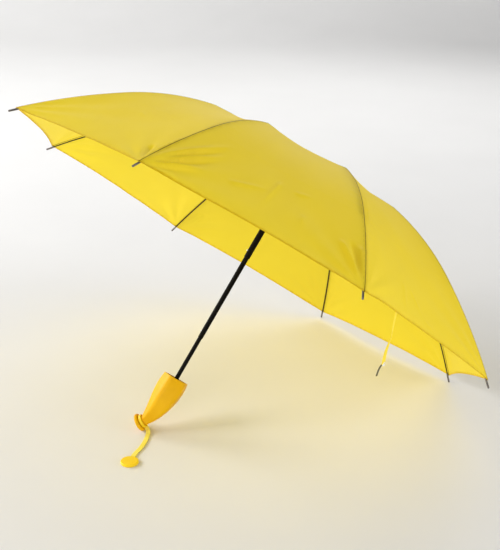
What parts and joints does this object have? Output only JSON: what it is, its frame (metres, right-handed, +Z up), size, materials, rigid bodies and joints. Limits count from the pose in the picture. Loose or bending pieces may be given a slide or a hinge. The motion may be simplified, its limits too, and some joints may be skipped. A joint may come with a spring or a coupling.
{
  "type": "folding umbrella",
  "caption": "Open folding umbrella with a domed fabric canopy, jointed ribs, telescopic shaft and a hollow banana-stem handle with a wrist strap.",
  "frame": {"origin": "on the ground under the centre of the bounding box, with the umbrella open and lying on its handle end and two rib tips", "axes": "+Z up, +Y across the canopy, +X from the handle towards the crown"},
  "size_m": [0.7044, 0.9006, 0.578],
  "materials": {
    "fabric": "thin yellow polyester",
    "tape": "thin tape",
    "strap": "soft moulded strap",
    "black_steel": "black enamel",
    "steel": "plated",
    "rib_steel": "dark coated steel",
    "white_plastic": "moulded",
    "yellow_plastic": "moulded",
    "dark_plastic": "moulded"
  },
  "bodies": {
    "frame_top": {"canopy": "fabric", "upper_tube": "black_steel", "crown_hub": "dark_plastic", "crown_wire": "steel", "crown_cap": "dark_plastic", "closing_strap": "tape", "strap_tab": "dark_plastic"},
    "runner": {"runner": "dark_plastic", "runner_wire": "steel"},
    "catch": {"top_catch": "dark_plastic"},
    "middle_tube": {"middle_tube": "black_steel"},
    "middle_detent": {"middle_button": "steel"},
    "lower_detent": {"lower_button": "steel"},
    "lower_tube": {"lower_tube": "black_steel", "handle_shell": "yellow_plastic", "handle_core": "dark_plastic", "strap_ring": "yellow_plastic", "wrist_strap": "strap", "strap_disc": "yellow_plastic"},
    "top_rib_1": {"top_rib_1": "rib_steel"},
    "middle_rib_1": {"middle_rib_1": "rib_steel"},
    "outer_rib_1": {"outer_rib_1": "rib_steel", "rib_tip_1": "steel"},
    "stretcher_1": {"stretcher_1": "rib_steel"},
    "top_rib_2": {"top_rib_2": "rib_steel"},
    "middle_rib_2": {"middle_rib_2": "rib_steel"},
    "outer_rib_2": {"outer_rib_2": "rib_steel", "rib_tip_2": "steel"},
    "stretcher_2": {"stretcher_2": "rib_steel"},
    "top_rib_3": {"top_rib_3": "rib_steel"},
    "middle_rib_3": {"middle_rib_3": "rib_steel"},
    "outer_rib_3": {"outer_rib_3": "rib_steel", "rib_tip_3": "steel"},
    "stretcher_3": {"stretcher_3": "rib_steel"},
    "top_rib_4": {"top_rib_4": "rib_steel"},
    "middle_rib_4": {"middle_rib_4": "rib_steel"},
    "outer_rib_4": {"outer_rib_4": "rib_steel", "rib_tip_4": "steel"},
    "stretcher_4": {"stretcher_4": "rib_steel"},
    "top_rib_5": {"top_rib_5": "rib_steel"},
    "middle_rib_5": {"middle_rib_5": "rib_steel"},
    "outer_rib_5": {"outer_rib_5": "rib_steel", "rib_tip_5": "steel"},
    "stretcher_5": {"stretcher_5": "rib_steel"},
    "top_rib_6": {"top_rib_6": "rib_steel"},
    "middle_rib_6": {"middle_rib_6": "rib_steel"},
    "outer_rib_6": {"outer_rib_6": "rib_steel", "rib_tip_6": "steel"},
    "stretcher_6": {"stretcher_6": "rib_steel"},
    "top_rib_7": {"top_rib_7": "rib_steel"},
    "middle_rib_7": {"middle_rib_7": "rib_steel"},
    "outer_rib_7": {"outer_rib_7": "rib_steel", "rib_tip_7": "steel"},
    "stretcher_7": {"stretcher_7": "rib_steel"},
    "top_rib_8": {"top_rib_8": "rib_steel"},
    "middle_rib_8": {"middle_rib_8": "rib_steel"},
    "outer_rib_8": {"outer_rib_8": "rib_steel", "rib_tip_8": "steel"},
    "stretcher_8": {"stretcher_8": "rib_steel"}
  },
  "joints": [
    {"name": "runner_slide", "type": "slide", "parent": "frame_top", "child": "runner", "axis": [-0.6249, 0, -0.7807], "range_m": [0, 0.11989], "deforming": ["canopy", "closing_strap", "strap_tab", "top_catch"]},
    {"name": "catch_press", "type": "slide", "parent": "frame_top", "child": "catch", "axis": [-0.7807, 0, 0.6249], "range_m": [0, 0.0017], "stiffness_N_per_m": 800},
    {"name": "middle_slide", "type": "slide", "parent": "frame_top", "child": "middle_tube", "axis": [0.6249, 0, 0.7807], "range_m": [0, 0.148], "deforming": ["middle_button", "top_catch"]},
    {"name": "lower_slide", "type": "slide", "parent": "middle_tube", "child": "lower_tube", "axis": [0.6249, 0, 0.7807], "range_m": [0, 0.08], "deforming": ["lower_button"]},
    {"name": "middle_button_press", "type": "slide", "parent": "middle_tube", "child": "middle_detent", "axis": [0.5981, -0.6428, -0.4787], "range_m": [0, 0.0021], "stiffness_N_per_m": 800},
    {"name": "lower_button_press", "type": "slide", "parent": "lower_tube", "child": "lower_detent", "axis": [0.5981, -0.6428, -0.4787], "range_m": [0, 0.002], "stiffness_N_per_m": 800},
    {"name": "crown_hinge_1", "type": "hinge", "parent": "frame_top", "child": "top_rib_1", "pos_m": [0.13225, 0.00383, 0.43247], "axis": [-0.2988, 0.9239, 0.2391], "range_deg": [0, 84.18]},
    {"name": "first_knee_1", "type": "hinge", "parent": "top_rib_1", "child": "middle_rib_1", "pos_m": [0.25719, 0.0729, 0.3217], "axis": [-0.2988, 0.9239, 0.2391], "range_deg": [-197.43, 0]},
    {"name": "second_knee_1", "type": "hinge", "parent": "middle_rib_1", "child": "outer_rib_1", "pos_m": [0.32236, 0.13141, 0.17706], "axis": [-0.2988, 0.9239, 0.2391], "range_deg": [0, 163.81]},
    {"name": "stretcher_hinge_1", "type": "hinge", "parent": "runner", "child": "stretcher_1", "pos_m": [0.10132, 0.00459, 0.39087], "axis": [-0.2988, 0.9239, 0.2391], "range_deg": [-56.48, 0]},
    {"name": "crown_hinge_2", "type": "hinge", "parent": "frame_top", "child": "top_rib_2", "pos_m": [0.12802, 0.00924, 0.43585], "axis": [-0.7213, 0.3827, 0.5773], "range_deg": [0, 84.18]},
    {"name": "first_knee_2", "type": "hinge", "parent": "top_rib_2", "child": "middle_rib_2", "pos_m": [0.1767, 0.176, 0.38613], "axis": [-0.7213, 0.3827, 0.5773], "range_deg": [-197.43, 0]},
    {"name": "second_knee_2", "type": "hinge", "parent": "middle_rib_2", "child": "outer_rib_2", "pos_m": [0.17727, 0.31726, 0.29319], "axis": [-0.7213, 0.3827, 0.5773], "range_deg": [0, 163.81]},
    {"name": "stretcher_hinge_2", "type": "hinge", "parent": "runner", "child": "stretcher_2", "pos_m": [0.09625, 0.01109, 0.39493], "axis": [-0.7213, 0.3827, 0.5773], "range_deg": [-56.48, 0]},
    {"name": "crown_hinge_3", "type": "hinge", "parent": "frame_top", "child": "top_rib_3", "pos_m": [0.12205, 0.00924, 0.44063], "axis": [-0.7213, -0.3827, 0.5773], "range_deg": [0, 84.18]},
    {"name": "first_knee_3", "type": "hinge", "parent": "top_rib_3", "child": "middle_rib_3", "pos_m": [0.06287, 0.176, 0.47724], "axis": [-0.7213, -0.3827, 0.5773], "range_deg": [-197.43, 0]},
    {"name": "second_knee_3", "type": "hinge", "parent": "middle_rib_3", "child": "outer_rib_3", "pos_m": [-0.02793, 0.31726, 0.45743], "axis": [-0.7213, -0.3827, 0.5773], "range_deg": [0, 163.81]},
    {"name": "stretcher_hinge_3", "type": "hinge", "parent": "runner", "child": "stretcher_3", "pos_m": [0.08908, 0.01109, 0.40067], "axis": [-0.7213, -0.3827, 0.5773], "range_deg": [-56.48, 0]},
    {"name": "crown_hinge_4", "type": "hinge", "parent": "frame_top", "child": "top_rib_4", "pos_m": [0.11782, 0.00383, 0.44401], "axis": [-0.2988, -0.9239, 0.2391], "range_deg": [0, 84.18]},
    {"name": "first_knee_4", "type": "hinge", "parent": "top_rib_4", "child": "middle_rib_4", "pos_m": [-0.01762, 0.0729, 0.54166], "axis": [-0.2988, -0.9239, 0.2391], "range_deg": [-197.43, 0]},
    {"name": "second_knee_4", "type": "hinge", "parent": "middle_rib_4", "child": "outer_rib_4", "pos_m": [-0.17302, 0.13141, 0.57356], "axis": [-0.2988, -0.9239, 0.2391], "range_deg": [0, 163.81]},
    {"name": "stretcher_hinge_4", "type": "hinge", "parent": "runner", "child": "stretcher_4", "pos_m": [0.08401, 0.00459, 0.40473], "axis": [-0.2988, -0.9239, 0.2391], "range_deg": [-56.48, 0]},
    {"name": "crown_hinge_5", "type": "hinge", "parent": "frame_top", "child": "top_rib_5", "pos_m": [0.11782, -0.00383, 0.44401], "axis": [0.2988, -0.9239, -0.2391], "range_deg": [0, 84.18]},
    {"name": "first_knee_5", "type": "hinge", "parent": "top_rib_5", "child": "middle_rib_5", "pos_m": [-0.01762, -0.0729, 0.54166], "axis": [0.2988, -0.9239, -0.2391], "range_deg": [-197.43, 0]},
    {"name": "second_knee_5", "type": "hinge", "parent": "middle_rib_5", "child": "outer_rib_5", "pos_m": [-0.17302, -0.13141, 0.57356], "axis": [0.2988, -0.9239, -0.2391], "range_deg": [0, 163.81]},
    {"name": "stretcher_hinge_5", "type": "hinge", "parent": "runner", "child": "stretcher_5", "pos_m": [0.08401, -0.00459, 0.40473], "axis": [0.2988, -0.9239, -0.2391], "range_deg": [-56.48, 0]},
    {"name": "crown_hinge_6", "type": "hinge", "parent": "frame_top", "child": "top_rib_6", "pos_m": [0.12205, -0.00924, 0.44063], "axis": [0.7213, -0.3827, -0.5773], "range_deg": [0, 84.18]},
    {"name": "first_knee_6", "type": "hinge", "parent": "top_rib_6", "child": "middle_rib_6", "pos_m": [0.06287, -0.176, 0.47724], "axis": [0.7213, -0.3827, -0.5773], "range_deg": [-197.43, 0]},
    {"name": "second_knee_6", "type": "hinge", "parent": "middle_rib_6", "child": "outer_rib_6", "pos_m": [-0.02793, -0.31726, 0.45743], "axis": [0.7213, -0.3827, -0.5773], "range_deg": [0, 163.81]},
    {"name": "stretcher_hinge_6", "type": "hinge", "parent": "runner", "child": "stretcher_6", "pos_m": [0.08908, -0.01109, 0.40067], "axis": [0.7213, -0.3827, -0.5773], "range_deg": [-56.48, 0]},
    {"name": "crown_hinge_7", "type": "hinge", "parent": "frame_top", "child": "top_rib_7", "pos_m": [0.12802, -0.00924, 0.43585], "axis": [0.7213, 0.3827, -0.5773], "range_deg": [0, 84.18]},
    {"name": "first_knee_7", "type": "hinge", "parent": "top_rib_7", "child": "middle_rib_7", "pos_m": [0.1767, -0.176, 0.38613], "axis": [0.7213, 0.3827, -0.5773], "range_deg": [-197.43, 0]},
    {"name": "second_knee_7", "type": "hinge", "parent": "middle_rib_7", "child": "outer_rib_7", "pos_m": [0.17727, -0.31726, 0.29319], "axis": [0.7213, 0.3827, -0.5773], "range_deg": [0, 163.81]},
    {"name": "stretcher_hinge_7", "type": "hinge", "parent": "runner", "child": "stretcher_7", "pos_m": [0.09625, -0.01109, 0.39493], "axis": [0.7213, 0.3827, -0.5773], "range_deg": [-56.48, 0]},
    {"name": "crown_hinge_8", "type": "hinge", "parent": "frame_top", "child": "top_rib_8", "pos_m": [0.13225, -0.00383, 0.43247], "axis": [0.2988, 0.9239, -0.2391], "range_deg": [0, 84.18]},
    {"name": "first_knee_8", "type": "hinge", "parent": "top_rib_8", "child": "middle_rib_8", "pos_m": [0.25719, -0.0729, 0.3217], "axis": [0.2988, 0.9239, -0.2391], "range_deg": [-197.43, 0]},
    {"name": "second_knee_8", "type": "hinge", "parent": "middle_rib_8", "child": "outer_rib_8", "pos_m": [0.32236, -0.13141, 0.17706], "axis": [0.2988, 0.9239, -0.2391], "range_deg": [0, 163.81]},
    {"name": "stretcher_hinge_8", "type": "hinge", "parent": "runner", "child": "stretcher_8", "pos_m": [0.10132, -0.00459, 0.39087], "axis": [0.2988, 0.9239, -0.2391], "range_deg": [-56.48, 0]}
  ],
  "couplings": [
    {"joint": "crown_hinge_1", "follows": "runner_slide", "rad_per_m": 12.253},
    {"joint": "first_knee_1", "follows": "runner_slide", "rad_per_m": -28.739},
    {"joint": "second_knee_1", "follows": "runner_slide", "rad_per_m": 23.846},
    {"joint": "stretcher_hinge_1", "follows": "runner_slide", "rad_per_m": -8.2197},
    {"joint": "crown_hinge_2", "follows": "runner_slide", "rad_per_m": 12.253},
    {"joint": "first_knee_2", "follows": "runner_slide", "rad_per_m": -28.739},
    {"joint": "second_knee_2", "follows": "runner_slide", "rad_per_m": 23.846},
    {"joint": "stretcher_hinge_2", "follows": "runner_slide", "rad_per_m": -8.2197},
    {"joint": "crown_hinge_3", "follows": "runner_slide", "rad_per_m": 12.253},
    {"joint": "first_knee_3", "follows": "runner_slide", "rad_per_m": -28.739},
    {"joint": "second_knee_3", "follows": "runner_slide", "rad_per_m": 23.846},
    {"joint": "stretcher_hinge_3", "follows": "runner_slide", "rad_per_m": -8.2197},
    {"joint": "crown_hinge_4", "follows": "runner_slide", "rad_per_m": 12.253},
    {"joint": "first_knee_4", "follows": "runner_slide", "rad_per_m": -28.739},
    {"joint": "second_knee_4", "follows": "runner_slide", "rad_per_m": 23.846},
    {"joint": "stretcher_hinge_4", "follows": "runner_slide", "rad_per_m": -8.2197},
    {"joint": "crown_hinge_5", "follows": "runner_slide", "rad_per_m": 12.253},
    {"joint": "first_knee_5", "follows": "runner_slide", "rad_per_m": -28.739},
    {"joint": "second_knee_5", "follows": "runner_slide", "rad_per_m": 23.846},
    {"joint": "stretcher_hinge_5", "follows": "runner_slide", "rad_per_m": -8.2197},
    {"joint": "crown_hinge_6", "follows": "runner_slide", "rad_per_m": 12.253},
    {"joint": "first_knee_6", "follows": "runner_slide", "rad_per_m": -28.739},
    {"joint": "second_knee_6", "follows": "runner_slide", "rad_per_m": 23.846},
    {"joint": "stretcher_hinge_6", "follows": "runner_slide", "rad_per_m": -8.2197},
    {"joint": "crown_hinge_7", "follows": "runner_slide", "rad_per_m": 12.253},
    {"joint": "first_knee_7", "follows": "runner_slide", "rad_per_m": -28.739},
    {"joint": "second_knee_7", "follows": "runner_slide", "rad_per_m": 23.846},
    {"joint": "stretcher_hinge_7", "follows": "runner_slide", "rad_per_m": -8.2197},
    {"joint": "crown_hinge_8", "follows": "runner_slide", "rad_per_m": 12.253},
    {"joint": "first_knee_8", "follows": "runner_slide", "rad_per_m": -28.739},
    {"joint": "second_knee_8", "follows": "runner_slide", "rad_per_m": 23.846},
    {"joint": "stretcher_hinge_8", "follows": "runner_slide", "rad_per_m": -8.2197}
  ]
}
